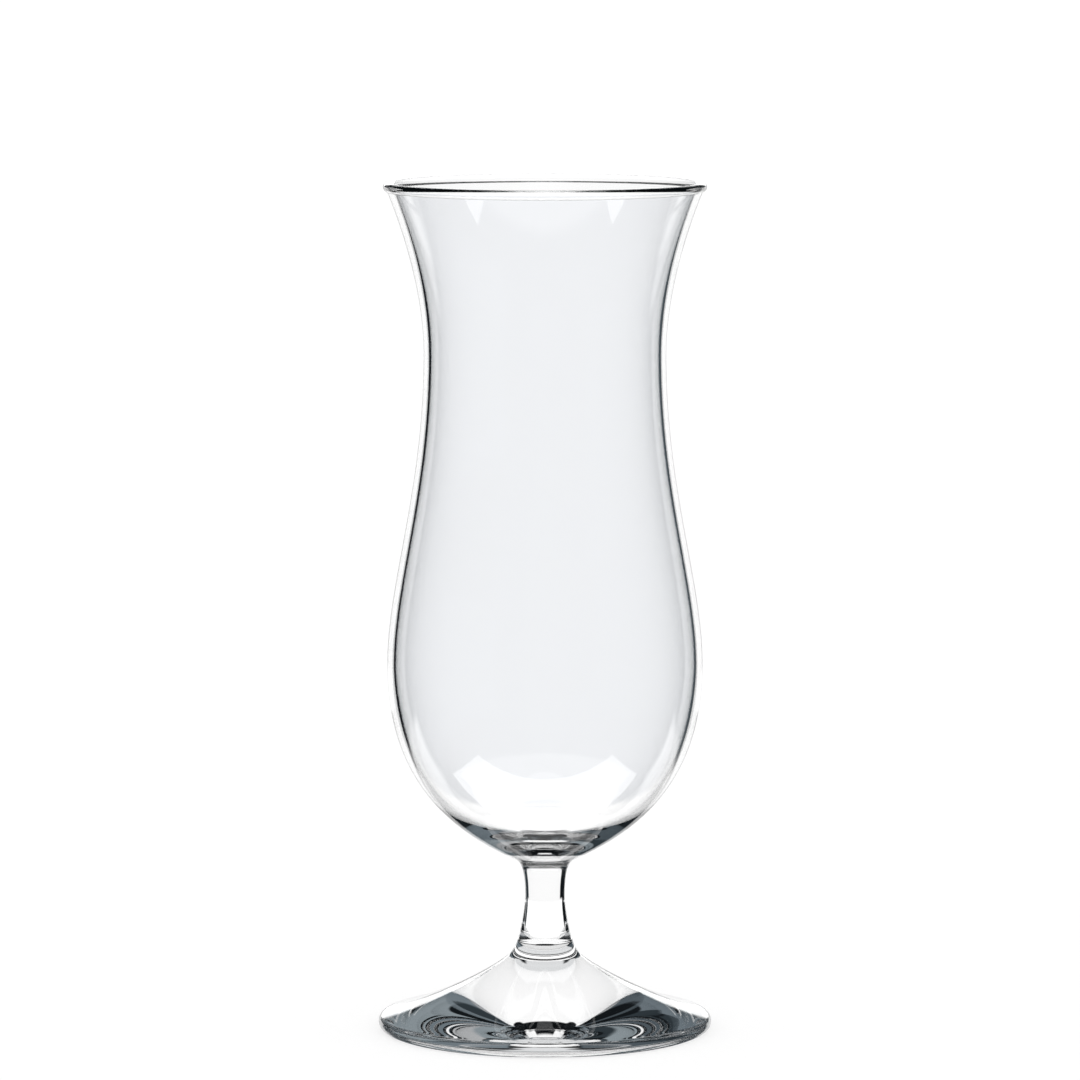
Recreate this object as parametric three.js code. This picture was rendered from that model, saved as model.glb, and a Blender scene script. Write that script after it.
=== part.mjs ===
import * as THREE from 'three';

// Stemmed cocktail glass in clear glass: a tall double-curved bowl, a short drawn-in stem,
// a flared collar and a low conical foot, fused one on top of the other.
// Every piece is turned about the Z axis. Millimetres, +Z up, origin at the centre of the
// foot's flat underside.

// Heights of the pieces, stacked from the table to the rim
const footHeight = 17.8;
const collarHeight = 4.15;
const stemHeight = 19.75;
const bellyRise = 47.2; // bottom of the bowl to the widest part of its belly
const waistRise = 75; // belly to the narrowest part of the bowl
const mouthRise = 41.1; // waist to the top of the rim

// Diameters
const rimDiameter = 77.5;
const waistDiameter = 58.2;
const bellyDiameter = 76;
const stemHeadDiameter = 15.4; // joint of stem and bowl
const stemNeckDiameter = 9.6;
const stemBaseDiameter = 12.9; // stands on the collar's top
const collarTopDiameter = 13.2;
const collarBaseDiameter = 17.7; // joint of collar and foot
const footDiameter = 80.6;

// Wall of the bowl, measured across at each level, and the solid glass under its floor
const waistWall = 1.5;
const bellyWall = 1.95;
const bowlFloorThickness = 4.4;

// Rim: a round fire-polished bead that stands proud of the flare's outside
const rimBeadDiameter = 2.3;
const rimBeadOverhang = 0.56;

// Slopes in degrees: the mouth against the vertical, the others against the horizontal
const mouthSlope = 22;
const bowlBaseSlope = 26;
const collarBaseSlope = 43;
const footTopSlope = 38.5;
const footEdgeSlope = 12.9;

// Slopes in degrees against the vertical
const stemBaseSlope = 15.7;
const collarTopSlope = 8;

// How far each outline keeps its direction before it bends away: the length of the curve's handle
const mouthReach = 18.5;
const mouthReachInside = 24;
const waistReachUp = 8.3;
const waistReachDown = 32.7;
const bellyReachUp = 19.8;
const bellyReachDown = 28.9;
const bowlBaseReach = 16.2;
const bellyReachDownInside = 19;
const bowlFloorReach = 27;
const stemHeadReach = 1.4;
const stemNeckReachUp = 8.8;
const stemNeckReachDown = 2.1;
const stemBaseReach = 2.6;
const collarTopReach = 0.8;
const collarBaseReach = 1.85;
const footTopReach = 9;
const footEdgeReach = 8.8;

// Stem: level of its neck below the bowl
const stemNeckDrop = 9.7;

// Foot: rounded edge above a flat ground underside
const footEdgeHeight = 1.9; // level of the foot's widest circle
const footEdgeRadius = 1.7; // rounding above the widest circle
const footUndercut = 1.9; // widest circle to the outside of the underside

// Facets
const turnSteps = 48;
const longCurveSteps = 12;
const shortCurveSteps = 7;
const roundingSteps = 3;
const samePoint = 1e-6; // outline points closer than this are one point

// Levels that follow from the stacked heights
const collarBase = footHeight;
const stemBase = collarBase + collarHeight;
const bowlBase = stemBase + stemHeight;
const bellyLevel = bowlBase + bellyRise;
const waistLevel = bellyLevel + waistRise;
const rimLevel = waistLevel + mouthRise;

const point = (radius, level) => new THREE.Vector2(radius, level);

// Unit direction in the outline's half plane: 0 points away from the axis, 90 points up
function heading(degrees) {
  const angle = THREE.MathUtils.degToRad(degrees);
  return point(Math.cos(angle), Math.sin(angle));
}

const along = (start, degrees, length) => start.clone().addScaledVector(heading(degrees), length);

// Points of a smooth curve that leaves `start` on one heading and comes into `end` on another
function bend(start, startHeading, startReach, end, endHeading, endReach, steps) {
  const leave = along(start, startHeading, startReach);
  const arrive = along(end, endHeading, -endReach);
  return new THREE.CubicBezierCurve(start, leave, arrive, end).getPoints(steps);
}

// Points of a rounding about a centre, from one heading to another
function round(centre, radiusAcross, radiusUp, fromDegrees, toDegrees, steps) {
  const from = THREE.MathUtils.degToRad(fromDegrees);
  const to = THREE.MathUtils.degToRad(toDegrees);
  const clockwise = to < from;
  const arc = new THREE.EllipseCurve(centre.x, centre.y, radiusAcross, radiusUp, from, to, clockwise);
  return arc.getPoints(steps);
}

// A named solid of revolution. Its outline runs from the axis outwards, up the outside and back to
// the axis, and stretches that share an end point are joined there.
function turned(name, stretches) {
  const joined = stretches.flat();
  const sameAsLast = (item, index) => index > 0 && item.distanceTo(joined[index - 1]) < samePoint;
  const outline = joined.filter((item, index) => !sameAsLast(item, index));
  const geometry = new THREE.LatheGeometry(outline, turnSteps);
  geometry.rotateX(Math.PI / 2);
  const material = new THREE.MeshStandardMaterial({
    color: 0xeef4f5,
    roughness: 0.03,
    metalness: 0,
    transparent: true,
    opacity: 0.4,
  });
  const mesh = new THREE.Mesh(geometry, material);
  mesh.name = name;
  return mesh;
}

// Bowl: outside from the stem up over belly and waist to the bead, then down the inside
function makeBowl() {
  const outerJoint = point(stemHeadDiameter / 2, bowlBase);
  const outerBelly = point(bellyDiameter / 2, bellyLevel);
  const outerWaist = point(waistDiameter / 2, waistLevel);
  const innerBelly = point(outerBelly.x - bellyWall, bellyLevel);
  const innerWaist = point(outerWaist.x - waistWall, waistLevel);
  const floorCentre = point(0, bowlBase + bowlFloorThickness);

  const beadRadius = rimBeadDiameter / 2;
  const beadCentre = point(rimDiameter / 2 - beadRadius, rimLevel - beadRadius);
  const beadTuck = THREE.MathUtils.radToDeg(Math.acos(1 - rimBeadOverhang / beadRadius));
  const beadStart = -mouthSlope - beadTuck;
  const beadEnd = 180 - mouthSlope;
  const mouthHeading = 90 - mouthSlope;
  const outerMouth = along(beadCentre, beadStart, beadRadius);
  const innerMouth = along(beadCentre, beadEnd, beadRadius);

  return turned('bowl', [
    [point(0, bowlBase)],
    bend(outerJoint, bowlBaseSlope, bowlBaseReach, outerBelly, 90, bellyReachDown, longCurveSteps),
    bend(outerBelly, 90, bellyReachUp, outerWaist, 90, waistReachDown, longCurveSteps),
    bend(outerWaist, 90, waistReachUp, outerMouth, mouthHeading, mouthReach, longCurveSteps),
    round(beadCentre, beadRadius, beadRadius, beadStart, 0, roundingSteps),
    round(beadCentre, beadRadius, beadRadius, 0, 90, roundingSteps),
    round(beadCentre, beadRadius, beadRadius, 90, beadEnd, roundingSteps),
    bend(innerMouth, mouthHeading, -mouthReachInside, innerWaist, -90, waistReachUp, longCurveSteps),
    bend(innerWaist, -90, waistReachDown, innerBelly, -90, bellyReachUp, longCurveSteps),
    bend(innerBelly, -90, bellyReachDownInside, floorCentre, 180, bowlFloorReach, longCurveSteps),
  ]);
}

// Stem: solid, spreading to the bowl above and to the collar below
function makeStem() {
  const base = point(stemBaseDiameter / 2, stemBase);
  const neck = point(stemNeckDiameter / 2, bowlBase - stemNeckDrop);
  const head = point(stemHeadDiameter / 2, bowlBase);

  return turned('stem', [
    [point(0, stemBase)],
    bend(base, 90 + stemBaseSlope, stemBaseReach, neck, 90, stemNeckReachDown, shortCurveSteps),
    bend(neck, 90, stemNeckReachUp, head, bowlBaseSlope, stemHeadReach, shortCurveSteps),
    [point(0, bowlBase)],
  ]);
}

// Collar: flares from the ledge under the stem down to the foot, whose slope it meets in a soft crease
function makeCollar() {
  const base = point(collarBaseDiameter / 2, collarBase);
  const top = point(collarTopDiameter / 2, stemBase);
  const riseInwards = 180 - collarBaseSlope;

  return turned('collar', [
    [point(0, collarBase)],
    bend(base, riseInwards, collarBaseReach, top, 90 + collarTopSlope, collarTopReach, shortCurveSteps),
    [point(0, stemBase)],
  ]);
}

// Foot: solid, flat underneath, with a rounded edge and a slope that steepens inwards
function makeFoot() {
  const widest = footDiameter / 2;
  const undercutCentre = point(widest - footUndercut, footEdgeHeight);
  const edgeCentre = point(widest - footEdgeRadius, footEdgeHeight);
  const slopeFoot = along(edgeCentre, 90 - footEdgeSlope, footEdgeRadius);
  const slopeHead = point(collarBaseDiameter / 2, footHeight);
  const riseAtEdge = 180 - footEdgeSlope;
  const riseAtCollar = 180 - footTopSlope;

  return turned('foot', [
    [point(0, 0)],
    round(undercutCentre, footUndercut, footEdgeHeight, -90, 0, roundingSteps),
    round(edgeCentre, footEdgeRadius, footEdgeRadius, 0, 90 - footEdgeSlope, roundingSteps),
    bend(slopeFoot, riseAtEdge, footEdgeReach, slopeHead, riseAtCollar, footTopReach, longCurveSteps),
    [point(0, footHeight)],
  ]);
}

const glass = new THREE.Group();
glass.name = 'cocktail_glass';
glass.add(makeBowl(), makeStem(), makeCollar(), makeFoot());

export default glass;
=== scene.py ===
import math
from typing import NamedTuple

import bpy
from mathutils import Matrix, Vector


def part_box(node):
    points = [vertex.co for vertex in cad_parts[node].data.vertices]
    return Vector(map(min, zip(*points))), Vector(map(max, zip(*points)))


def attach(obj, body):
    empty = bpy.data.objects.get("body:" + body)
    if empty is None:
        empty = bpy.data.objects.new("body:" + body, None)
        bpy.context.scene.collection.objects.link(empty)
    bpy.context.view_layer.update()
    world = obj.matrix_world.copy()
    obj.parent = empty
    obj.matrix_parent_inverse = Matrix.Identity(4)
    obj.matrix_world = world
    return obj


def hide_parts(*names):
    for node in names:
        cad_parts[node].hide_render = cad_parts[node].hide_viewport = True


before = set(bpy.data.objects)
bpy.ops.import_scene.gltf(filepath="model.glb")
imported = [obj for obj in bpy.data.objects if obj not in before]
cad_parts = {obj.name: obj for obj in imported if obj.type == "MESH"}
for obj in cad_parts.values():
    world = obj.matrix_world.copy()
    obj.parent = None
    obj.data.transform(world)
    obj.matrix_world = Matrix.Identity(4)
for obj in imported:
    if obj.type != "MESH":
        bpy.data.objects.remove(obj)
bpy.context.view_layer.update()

MM = 0.001

# Fineness of the turned pieces
TURN_STEPS = 192
CURVE_STEPS = 40
ROUNDING_STEPS = 12
SAME_POINT = 1e-6  # mm: outline points closer than this are one point
CREASE = 18  # degrees: a sharper bend of the surface stays an edge

# The two finishes of a piece: polished glass, and the inside of a fused joint, which can't be seen
POLISHED, FUSED = 0, 1


def level(node, end):
    """Height in mm of the lowest (0) or highest (1) point of a CAD node."""
    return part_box(node)[end].z / MM


def widest(node):
    """Largest radius of a CAD node, in mm."""
    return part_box(node)[1].x / MM


COLLAR_BASE = level("collar", 0)
STEM_BASE = level("stem", 0)
BOWL_BASE = level("bowl", 0)
RIM_LEVEL = level("bowl", 1)

# Outline of the bowl, in mm and degrees
RIM_RADIUS = widest("bowl")
BELLY_RISE = 47.2
WAIST_RISE = 75
BELLY_LEVEL = BOWL_BASE + BELLY_RISE
WAIST_LEVEL = BELLY_LEVEL + WAIST_RISE
BELLY_RADIUS = 38
WAIST_RADIUS = 29.1
BELLY_WALL = 2
WAIST_WALL = 1.8
FLOOR_THICKNESS = 4.4
BEAD_RADIUS = 1.15
BEAD_OVERHANG = 0.56
MOUTH_SLOPE = 22
BOWL_BASE_SLOPE = 26

# Outlines of stem, collar and foot
STEM_HEAD_RADIUS = 7.7
STEM_NECK_RADIUS = 4.8
STEM_NECK_DROP = 9.7
STEM_NECK_LEVEL = BOWL_BASE - STEM_NECK_DROP
STEM_BASE_RADIUS = 6.45
STEM_BASE_SLOPE = 15.7
COLLAR_TOP_RADIUS = 6.6
COLLAR_TOP_SLOPE = 8
COLLAR_BASE_RADIUS = widest("collar")
COLLAR_BASE_SLOPE = 43
FOOT_RADIUS = widest("foot")
FOOT_TOP_SLOPE = 38.5
FOOT_EDGE_SLOPE = 12.9
FOOT_EDGE_LEVEL = 1.9
FOOT_EDGE_RADIUS = 1.7
FOOT_UNDERCUT = 1.9
UNDERSIDE_RIM = 0.3  # narrow outer ring, which keeps the rest of the underside flat in its shading

# How far each outline keeps its direction before it bends away: the length of the curve's handle
MOUTH_REACH = 18.5
MOUTH_REACH_INSIDE = 22
WAIST_REACH_UP = 8.3
WAIST_REACH_DOWN = 32.7
BELLY_REACH_UP = 19.8
BELLY_REACH_DOWN = 28.9
BELLY_REACH_DOWN_INSIDE = 19
BOWL_BASE_REACH = 16.2
FLOOR_REACH = 27
STEM_HEAD_REACH = 1.4
STEM_NECK_REACH_UP = 8.8
STEM_NECK_REACH_DOWN = 2.1
STEM_BASE_REACH = 2.6
COLLAR_TOP_REACH = 0.8
COLLAR_BASE_REACH = 1.85
FOOT_TOP_REACH = 9
FOOT_EDGE_REACH = 8.8

# Clear glass, with the faint waviness of a blown piece: its height is in mm
REFRACTION = 1.5
WAVES_PER_METRE = 45
WAVE_DETAIL = 1
WAVE_HEIGHT = 0.004

# Floor: half its width in metres, and how far it lies below the foot in mm
FLOOR_HALF = 6
FLOOR_DROP = 0.02
FLOOR_TONE = (0.3, 0.3, 0.3, 1)
FLOOR_ROUGHNESS = 0.9
FLOOR_GLOW = 0.72

# Camera: place in mm, tilt below the level in degrees, sensor and lens in mm
CAMERA_PLACE = Vector((-1.19, -1529.7, 287.13))
CAMERA_TILT = 6.275
SENSOR_WIDTH = 36
LENS = 213.33

# How often light may meet the glass before it is lost
LONGEST_PATH = 96


def point(radius, height):
    return Vector((radius, height))


def along(start, degrees, length):
    """The point at a distance from `start`: 0 degrees points away from the axis, 90 points up."""
    angle = math.radians(degrees)
    return start + length * point(math.cos(angle), math.sin(angle))


def bend(start, start_heading, start_reach, end, end_heading, end_reach):
    """Smooth curve that leaves `start` on one heading and comes into `end` on another."""
    leave = along(start, start_heading, start_reach)
    arrive = along(end, end_heading, -end_reach)
    points = []
    for step in range(CURVE_STEPS + 1):
        t = step / CURVE_STEPS
        near = (1 - t) ** 3 * start + 3 * (1 - t) ** 2 * t * leave
        far = 3 * (1 - t) * t ** 2 * arrive + t ** 3 * end
        points.append(near + far)
    return points


def rounding(centre, across, up, from_degrees, to_degrees):
    """Part of an ellipse about a centre."""
    points = []
    for step in range(ROUNDING_STEPS + 1):
        angle = math.radians(from_degrees + (to_degrees - from_degrees) * step / ROUNDING_STEPS)
        points.append(centre + point(across * math.cos(angle), up * math.sin(angle)))
    return points


def turned(name, stretches):
    """A solid of revolution. Its outline runs from the axis outwards, up the outside and back to the
    axis, in stretches of (finish, points) that share their end points."""
    outline = []
    finishes = []
    for finish, points in stretches:
        for item in points:
            if outline and (item - outline[-1]).length < SAME_POINT:
                continue
            if outline:
                finishes.append(finish)
            outline.append(item)

    corners = []
    rings = []
    for item in outline:
        steps = TURN_STEPS if item.x > SAME_POINT else 1
        ring = []
        for step in range(steps):
            angle = 2 * math.pi * step / TURN_STEPS
            ring.append(len(corners))
            corners.append((item.x * math.cos(angle) * MM, item.x * math.sin(angle) * MM, item.y * MM))
        rings.append(ring)

    faces = []
    face_finishes = []
    for low, high, finish in zip(rings, rings[1:], finishes):
        for step in range(TURN_STEPS):
            follow = (step + 1) % TURN_STEPS
            ends = ((low, step), (low, follow), (high, follow), (high, step))
            loop = [ring[index % len(ring)] for ring, index in ends]
            faces.append(list(dict.fromkeys(loop)))
            face_finishes.append(finish)

    mesh = bpy.data.meshes.new(name)
    mesh.from_pydata(corners, [], faces)
    mesh.polygons.foreach_set("material_index", face_finishes)
    mesh.polygons.foreach_set("use_smooth", [True] * len(faces))
    mesh.set_sharp_from_angle(angle=math.radians(CREASE))
    mesh.update()
    piece = bpy.data.objects.new(name, mesh)
    bpy.context.scene.collection.objects.link(piece)
    return piece


def make_bowl():
    outer_joint = point(STEM_HEAD_RADIUS, BOWL_BASE)
    outer_belly = point(BELLY_RADIUS, BELLY_LEVEL)
    outer_waist = point(WAIST_RADIUS, WAIST_LEVEL)
    inner_belly = point(BELLY_RADIUS - BELLY_WALL, BELLY_LEVEL)
    inner_waist = point(WAIST_RADIUS - WAIST_WALL, WAIST_LEVEL)
    floor_centre = point(0, BOWL_BASE + FLOOR_THICKNESS)
    bead_centre = point(RIM_RADIUS - BEAD_RADIUS, RIM_LEVEL - BEAD_RADIUS)
    bead_tuck = math.degrees(math.acos(1 - BEAD_OVERHANG / BEAD_RADIUS))
    bead_start = -MOUTH_SLOPE - bead_tuck
    bead_end = 180 - MOUTH_SLOPE
    mouth_heading = 90 - MOUTH_SLOPE
    outer_mouth = along(bead_centre, bead_start, BEAD_RADIUS)
    inner_mouth = along(bead_centre, bead_end, BEAD_RADIUS)
    return turned("glass_bowl", [
        (FUSED, [point(0, BOWL_BASE), outer_joint]),
        (POLISHED, bend(outer_joint, BOWL_BASE_SLOPE, BOWL_BASE_REACH, outer_belly, 90, BELLY_REACH_DOWN)),
        (POLISHED, bend(outer_belly, 90, BELLY_REACH_UP, outer_waist, 90, WAIST_REACH_DOWN)),
        (POLISHED, bend(outer_waist, 90, WAIST_REACH_UP, outer_mouth, mouth_heading, MOUTH_REACH)),
        (POLISHED, rounding(bead_centre, BEAD_RADIUS, BEAD_RADIUS, bead_start, 0)),
        (POLISHED, rounding(bead_centre, BEAD_RADIUS, BEAD_RADIUS, 0, 90)),
        (POLISHED, rounding(bead_centre, BEAD_RADIUS, BEAD_RADIUS, 90, bead_end)),
        (POLISHED, bend(inner_mouth, mouth_heading, -MOUTH_REACH_INSIDE, inner_waist, -90, WAIST_REACH_UP)),
        (POLISHED, bend(inner_waist, -90, WAIST_REACH_DOWN, inner_belly, -90, BELLY_REACH_UP)),
        (POLISHED, bend(inner_belly, -90, BELLY_REACH_DOWN_INSIDE, floor_centre, 180, FLOOR_REACH)),
    ])


def make_stem():
    base = point(STEM_BASE_RADIUS, STEM_BASE)
    neck = point(STEM_NECK_RADIUS, STEM_NECK_LEVEL)
    head = point(STEM_HEAD_RADIUS, BOWL_BASE)
    return turned("glass_stem", [
        (FUSED, [point(0, STEM_BASE), base]),
        (POLISHED, bend(base, 90 + STEM_BASE_SLOPE, STEM_BASE_REACH, neck, 90, STEM_NECK_REACH_DOWN)),
        (POLISHED, bend(neck, 90, STEM_NECK_REACH_UP, head, BOWL_BASE_SLOPE, STEM_HEAD_REACH)),
        (FUSED, [head, point(0, BOWL_BASE)]),
    ])


def make_collar():
    base = point(COLLAR_BASE_RADIUS, COLLAR_BASE)
    top = point(COLLAR_TOP_RADIUS, STEM_BASE)
    stem_foot = point(STEM_BASE_RADIUS, STEM_BASE)
    base_heading = 180 - COLLAR_BASE_SLOPE
    top_heading = 90 + COLLAR_TOP_SLOPE
    return turned("glass_collar", [
        (FUSED, [point(0, COLLAR_BASE), base]),
        (POLISHED, bend(base, base_heading, COLLAR_BASE_REACH, top, top_heading, COLLAR_TOP_REACH)),
        (POLISHED, [top, stem_foot]),
        (FUSED, [stem_foot, point(0, STEM_BASE)]),
    ])


def make_foot():
    underside_radius = FOOT_RADIUS - FOOT_UNDERCUT
    undercut_centre = point(underside_radius, FOOT_EDGE_LEVEL)
    edge_centre = point(FOOT_RADIUS - FOOT_EDGE_RADIUS, FOOT_EDGE_LEVEL)
    slope_foot = along(edge_centre, 90 - FOOT_EDGE_SLOPE, FOOT_EDGE_RADIUS)
    slope_head = point(COLLAR_BASE_RADIUS, COLLAR_BASE)
    rise_at_edge = 180 - FOOT_EDGE_SLOPE
    rise_at_collar = 180 - FOOT_TOP_SLOPE
    underside = [point(0, 0), point(underside_radius - UNDERSIDE_RIM, 0), point(underside_radius, 0)]
    slope = bend(slope_foot, rise_at_edge, FOOT_EDGE_REACH, slope_head, rise_at_collar, FOOT_TOP_REACH)
    return turned("glass_foot", [
        (POLISHED, underside),
        (POLISHED, rounding(undercut_centre, FOOT_UNDERCUT, FOOT_EDGE_LEVEL, -90, 0)),
        (POLISHED, rounding(edge_centre, FOOT_EDGE_RADIUS, FOOT_EDGE_RADIUS, 0, 90 - FOOT_EDGE_SLOPE)),
        (POLISHED, slope),
        (FUSED, [slope_head, point(0, COLLAR_BASE)]),
    ])


def feed(tree, socket, value):
    """Sets a node's input, or links it from another node's socket."""
    if isinstance(value, bpy.types.NodeSocket):
        tree.links.new(value, socket)
    else:
        socket.default_value = value


def add(tree, kind, **inputs):
    """A node of a shader tree, with its inputs fed by name."""
    node = tree.nodes.new(kind)
    for name, value in inputs.items():
        feed(tree, node.inputs[name], value)
    return node


def calculate(tree, operation, first, second=0.0):
    """A Math node's result from two numbers or sockets."""
    node = tree.nodes.new("ShaderNodeMath")
    node.operation = operation
    for socket, value in zip(node.inputs, (first, second)):
        feed(tree, socket, value)
    return node.outputs[0]


def mix(tree, share, first, second):
    """Colour that goes from the first to the second as the share goes from 0 to 1."""
    node = tree.nodes.new("ShaderNodeMix")
    node.data_type = "RGBA"
    for name, value in (("Factor_Float", share), ("A_Color", first), ("B_Color", second)):
        feed(tree, next(item for item in node.inputs if item.identifier == name), value)
    return next(item for item in node.outputs if item.identifier == "Result_Color")


def fade(tree, value, none_at, full_at):
    """0 up to one value, 1 from another, smooth between."""
    node = add(tree, "ShaderNodeMapRange", **{"Value": value, "From Min": none_at, "From Max": full_at})
    node.interpolation_type = "SMOOTHSTEP"
    return node.outputs["Result"]


def clear_glass():
    material = bpy.data.materials.new("clear_glass")
    material.use_nodes = True
    tree = material.node_tree
    shader = tree.nodes["Principled BSDF"]
    shader.inputs["Base Color"].default_value = (1, 1, 1, 1)
    shader.inputs["Roughness"].default_value = 0
    shader.inputs["IOR"].default_value = REFRACTION
    shader.inputs["Transmission Weight"].default_value = 1
    place = tree.nodes.new("ShaderNodeTexCoord")
    waves = add(tree, "ShaderNodeTexNoise", Scale=WAVES_PER_METRE, Detail=WAVE_DETAIL)
    tree.links.new(place.outputs["Object"], waves.inputs["Vector"])
    ripple = add(tree, "ShaderNodeBump", Height=waves.outputs["Fac"], Distance=WAVE_HEIGHT * MM)
    tree.links.new(ripple.outputs["Normal"], shader.inputs["Normal"])
    return material


def fused_joint():
    material = bpy.data.materials.new("fused_joint")
    material.use_nodes = True
    tree = material.node_tree
    tree.nodes.remove(tree.nodes["Principled BSDF"])
    through = tree.nodes.new("ShaderNodeBsdfTransparent")
    tree.links.new(through.outputs[0], tree.nodes["Material Output"].inputs["Surface"])
    return material


class Panel(NamedTuple):
    """A panel of the studio, as seen from the glass, in degrees: 0 is straight behind the glass and
    level with it, and bearings to the camera's right are above 0."""
    bearing: float
    half_width: float
    low: float
    high: float
    tone: tuple


BACKDROP = (1.05, 1.05, 1.05, 1)
TINTED = (1.02, 1.035, 1.06, 1)
BRIGHT = (1.3, 1.3, 1.3, 1)
GLARE = (2.6, 2.6, 2.6, 1)
WHITE = (1.08, 1.08, 1.08, 1)
HAZE = (0.85, 0.85, 0.85, 1)
PALE = (0.77, 0.78, 0.79, 1)
ASH = (0.48, 0.49, 0.5, 1)
MIST = (0.29, 0.335, 0.36, 1)
SLATE = (0.17, 0.205, 0.23, 1)
SHADE = (0.08, 0.1, 0.115, 1)
DUSK = (0.03, 0.04, 0.047, 1)
BLACK = (0.004, 0.005, 0.006, 1)
EDGE = 1.5  # degrees: softness of a panel's edge
HALF_TURN = 180

# The backdrop's lower part, which sweeps forward under the glass
SWEEP = (
    Panel(0, 180, -90, -15, BRIGHT),
)

# What shows straight through solid glass or a single wall: the backdrop, with dark flags beside it
# and above
FLAGS = (
    Panel(-61, 23, -12, 40, BLACK),
    Panel(-67, 17, -34, -10, BLACK),
    Panel(53, 9, -12, 40, DUSK),
    Panel(56, 6, -34, -10, DUSK),
    Panel(74, 12, -34, 40, ASH),
    Panel(0, 39, 31, 44, BLACK),
)

# What the glass mirrors on its outside, above the light table
HORIZON = (
    Panel(0, 31, -25, 3, BRIGHT),
    Panel(0, 14, -25, 3, HAZE),
    Panel(0, 15, 3, 13, GLARE),
)

# What all light that is mirrored once can meet
BESIDE = (
    Panel(-135, 50, -74, -42, WHITE),
    Panel(135, 50, -74, -42, WHITE),
    Panel(85, 55, -20, 22, SHADE),
    Panel(0, 43, 1, 21, BRIGHT),
)
ABOVE = (
    Panel(0, 62, 42, 58, WHITE),
    Panel(0, 28, 31, 45, BLACK),
    Panel(0, 16, 31, 50, BLACK),
)

# What the hollow bowl mirrors once
SCREEN = BESIDE + (
    Panel(0, 17, 15, 30, WHITE),
    Panel(0, 31, -70, 0, BRIGHT),
) + ABOVE

# What solid glass or a single wall mirrors once
ONCE = (
    Panel(180, 118, 40, 75, WHITE),
    Panel(0, 60, -64, -19, HAZE),
) + BESIDE + (
    Panel(0, 29, -18, 21, WHITE),
    Panel(0, 17, 15, 29, WHITE),
) + ABOVE

# What the glass mirrors twice
TWICE = (
    Panel(180, 110, 20, 60, ASH),
    Panel(-47, 20, -50, 36, SHADE),
    Panel(47, 20, -50, 36, SLATE),
    Panel(0, 30, -12, 38, PALE),
    Panel(0, 13, -50, -10, PALE),
    Panel(0, 28, -70, -48, PALE),
)

# What it mirrors three times
THRICE = (
    Panel(-62, 34, -16, 30, SHADE),
    Panel(62, 34, -16, 30, SLATE),
    Panel(-67, 9, 4, 30, BLACK),
    Panel(67, 9, 8, 30, DUSK),
    Panel(0, 110, 30, 60, ASH),
    Panel(0, 75, -65, -20, PALE),
    Panel(0, 45, -70, -17, WHITE),
    Panel(0, 20, -15, 12, ASH),
)

# What it mirrors more often
OFTEN = (
    Panel(-60, 20, -34, 25, DUSK),
    Panel(-110, 32, -34, 30, SLATE),
    Panel(95, 55, -34, 30, MIST),
    Panel(-112, 28, 3, 8, PALE),
    Panel(112, 28, 3, 8, PALE),
    Panel(-38, 9, -22, 34, MIST),
    Panel(38, 9, -22, 34, ASH),
    Panel(0, 28, -25, 33, BLACK),
)

# What is left after many mirrorings
DEEP = (
    Panel(-95, 55, -34, 30, SHADE),
    Panel(95, 55, -34, 30, SLATE),
)

# What comes out after long ways through the wall
PIPED = (
    Panel(0, 180, -90, -17, WHITE),
)

# What comes out after the longest ways through the wall
RIM = (
    Panel(0, 180, -90, 25, WHITE),
)

# What shows from so many mirrorings on
BY_MIRRORINGS = ((2, TWICE), (3, THRICE), (4, OFTEN), (8, DEEP), (14, PIPED), (52, RIM))

# Light that has passed so many faces counts as gone through the hollow bowl
BOWL_FACES = 3

# Light table: half its width and its front and back edges, for each unit that it lies below the glass
TABLE_HALF_WIDTH = 1.15
TABLE_FRONT = -0.64
TABLE_BACK = 0.2
TABLE_EDGE = 0.01


def hang(tree, colour, panels, bearing, height):
    """The colour of the surroundings with panels in front of it."""
    for panel in panels:
        aside = calculate(tree, "SUBTRACT", bearing, panel.bearing)
        aside = calculate(tree, "PINGPONG", aside, HALF_TURN)
        inside = fade(tree, aside, panel.half_width + EDGE, panel.half_width - EDGE)
        above = fade(tree, height, panel.low - EDGE, panel.low + EDGE)
        below = fade(tree, height, panel.high + EDGE, panel.high - EDGE)
        share = calculate(tree, "MULTIPLY", inside, calculate(tree, "MULTIPLY", above, below))
        colour = mix(tree, share, colour, panel.tone)
    return colour


def lay_table(tree, colour, parts):
    """The colour of the surroundings with the light table under the glass."""
    depth = calculate(tree, "MULTIPLY", parts.outputs["Z"], -1)
    aside = calculate(tree, "ABSOLUTE", parts.outputs["X"])
    room = calculate(tree, "SUBTRACT", calculate(tree, "MULTIPLY", depth, TABLE_HALF_WIDTH), aside)
    front = calculate(tree, "MULTIPLY", depth, TABLE_FRONT)
    back = calculate(tree, "MULTIPLY", depth, TABLE_BACK)
    behind = calculate(tree, "SUBTRACT", parts.outputs["Y"], front)
    before = calculate(tree, "SUBTRACT", back, parts.outputs["Y"])
    room = calculate(tree, "MINIMUM", room, calculate(tree, "MINIMUM", behind, before))
    return mix(tree, fade(tree, room, -TABLE_EDGE, TABLE_EDGE), colour, GLARE)


def glow(tree, colour):
    """Light of one colour that comes from the surroundings."""
    return add(tree, "ShaderNodeBackground", Color=colour).outputs[0]


def choose(tree, share, first, second):
    """The first of two shaders where the share is 0, the second where it is 1."""
    node = tree.nodes.new("ShaderNodeMixShader")
    for socket, value in zip(node.inputs, (share, first, second)):
        tree.links.new(value, socket)
    return node.outputs[0]


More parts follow.
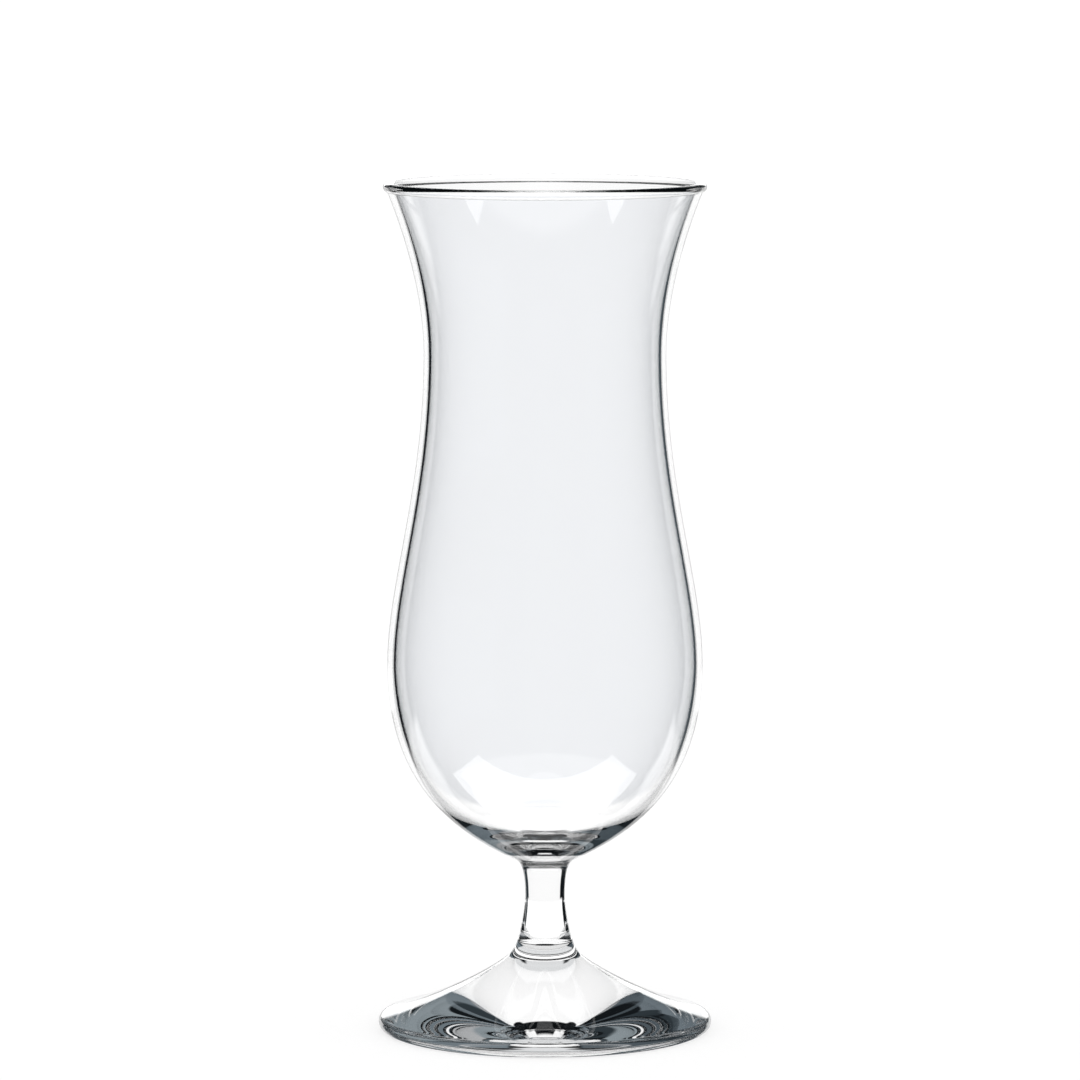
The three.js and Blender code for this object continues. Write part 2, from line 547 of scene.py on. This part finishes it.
def mirrored(tree, times):
    """1 on a path that the glass has turned back at least so many times, otherwise 0."""
    path = tree.nodes.new("ShaderNodeLightPath")
    return calculate(tree, "GREATER_THAN", path.outputs["Glossy Depth"], times - 0.5)


def passed(tree, times):
    """1 on a path that has gone through at least so many faces of the glass, otherwise 0."""
    path = tree.nodes.new("ShaderNodeLightPath")
    return calculate(tree, "GREATER_THAN", path.outputs["Transmission Depth"], times - 0.5)


def met_glass(tree):
    """1 on a path that has met the glass, otherwise 0."""
    return calculate(tree, "MAXIMUM", passed(tree, 1), mirrored(tree, 1))


def studio():
    """White all round, and the panels that show in the glass, by how often it mirrors the light and how
    many of its faces the light passes."""
    world = bpy.data.worlds.new("studio")
    world.use_nodes = True
    tree = world.node_tree
    ray = tree.nodes.new("ShaderNodeTexCoord")
    parts = add(tree, "ShaderNodeSeparateXYZ", Vector=ray.outputs["Generated"])
    around = calculate(tree, "ARCTAN2", parts.outputs["X"], parts.outputs["Y"])
    bearing = calculate(tree, "DEGREES", around)
    height = calculate(tree, "DEGREES", calculate(tree, "ARCSINE", parts.outputs["Z"]))
    through_solid = glow(tree, hang(tree, BACKDROP, SWEEP + FLAGS, bearing, height))
    through_bowl = glow(tree, hang(tree, TINTED, SWEEP, bearing, height))
    straight = choose(tree, passed(tree, BOWL_FACES), through_solid, through_bowl)
    outside = glow(tree, lay_table(tree, hang(tree, DUSK, HORIZON, bearing, height), parts))
    solid = glow(tree, hang(tree, BLACK, ONCE, bearing, height))
    hollow = glow(tree, hang(tree, BLACK, SCREEN, bearing, height))
    inside = choose(tree, passed(tree, BOWL_FACES), solid, hollow)
    glassy = choose(tree, mirrored(tree, 1), straight, choose(tree, passed(tree, 1), outside, inside))
    for times, panels in BY_MIRRORINGS:
        again = glow(tree, hang(tree, BLACK, panels, bearing, height))
        glassy = choose(tree, mirrored(tree, times), glassy, again)
    seen = choose(tree, met_glass(tree), glow(tree, BACKDROP), glassy)
    tree.links.new(seen, tree.nodes["World Output"].inputs["Surface"])
    tree.nodes.remove(tree.nodes["Background"])
    bpy.context.scene.world = world


def pale_floor():
    """The floor, which only light that hasn't met the glass can see."""
    mesh = bpy.data.meshes.new("floor")
    half = FLOOR_HALF
    corners = [(-half, -half, 0), (half, -half, 0), (half, half, 0), (-half, half, 0)]
    mesh.from_pydata(corners, [], [(0, 1, 2, 3)])
    material = bpy.data.materials.new("pale_floor")
    material.use_nodes = True
    tree = material.node_tree
    shader = tree.nodes["Principled BSDF"]
    shader.inputs["Base Color"].default_value = FLOOR_TONE
    shader.inputs["Roughness"].default_value = FLOOR_ROUGHNESS
    shader.inputs["Specular IOR Level"].default_value = 0
    shader.inputs["Emission Color"].default_value = (1, 1, 1, 1)
    shader.inputs["Emission Strength"].default_value = FLOOR_GLOW
    through = tree.nodes.new("ShaderNodeBsdfTransparent")
    seen = choose(tree, met_glass(tree), shader.outputs[0], through.outputs[0])
    tree.links.new(seen, tree.nodes["Material Output"].inputs["Surface"])
    mesh.materials.append(material)
    floor = bpy.data.objects.new("floor", mesh)
    floor.location.z = -FLOOR_DROP * MM
    bpy.context.scene.collection.objects.link(floor)


def place_camera():
    camera_data = bpy.data.cameras.new("camera")
    camera_data.sensor_width = SENSOR_WIDTH
    camera_data.lens = LENS
    camera = bpy.data.objects.new("camera", camera_data)
    camera.location = CAMERA_PLACE * MM
    camera.rotation_euler = (math.radians(90 - CAMERA_TILT), 0, 0)
    bpy.context.scene.collection.objects.link(camera)
    bpy.context.scene.camera = camera


glass = clear_glass()
joint = fused_joint()
for node, make in (("bowl", make_bowl), ("stem", make_stem), ("collar", make_collar), ("foot", make_foot)):
    piece = make()
    piece.data.materials.append(glass)
    piece.data.materials.append(joint)
    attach(piece, "root")
    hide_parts(node)

studio()
pale_floor()
place_camera()

scene = bpy.context.scene
scene.view_settings.view_transform = "Standard"
scene.cycles.max_bounces = LONGEST_PATH
scene.cycles.transmission_bounces = LONGEST_PATH
scene.cycles.glossy_bounces = LONGEST_PATH
scene.cycles.transparent_max_bounces = LONGEST_PATH
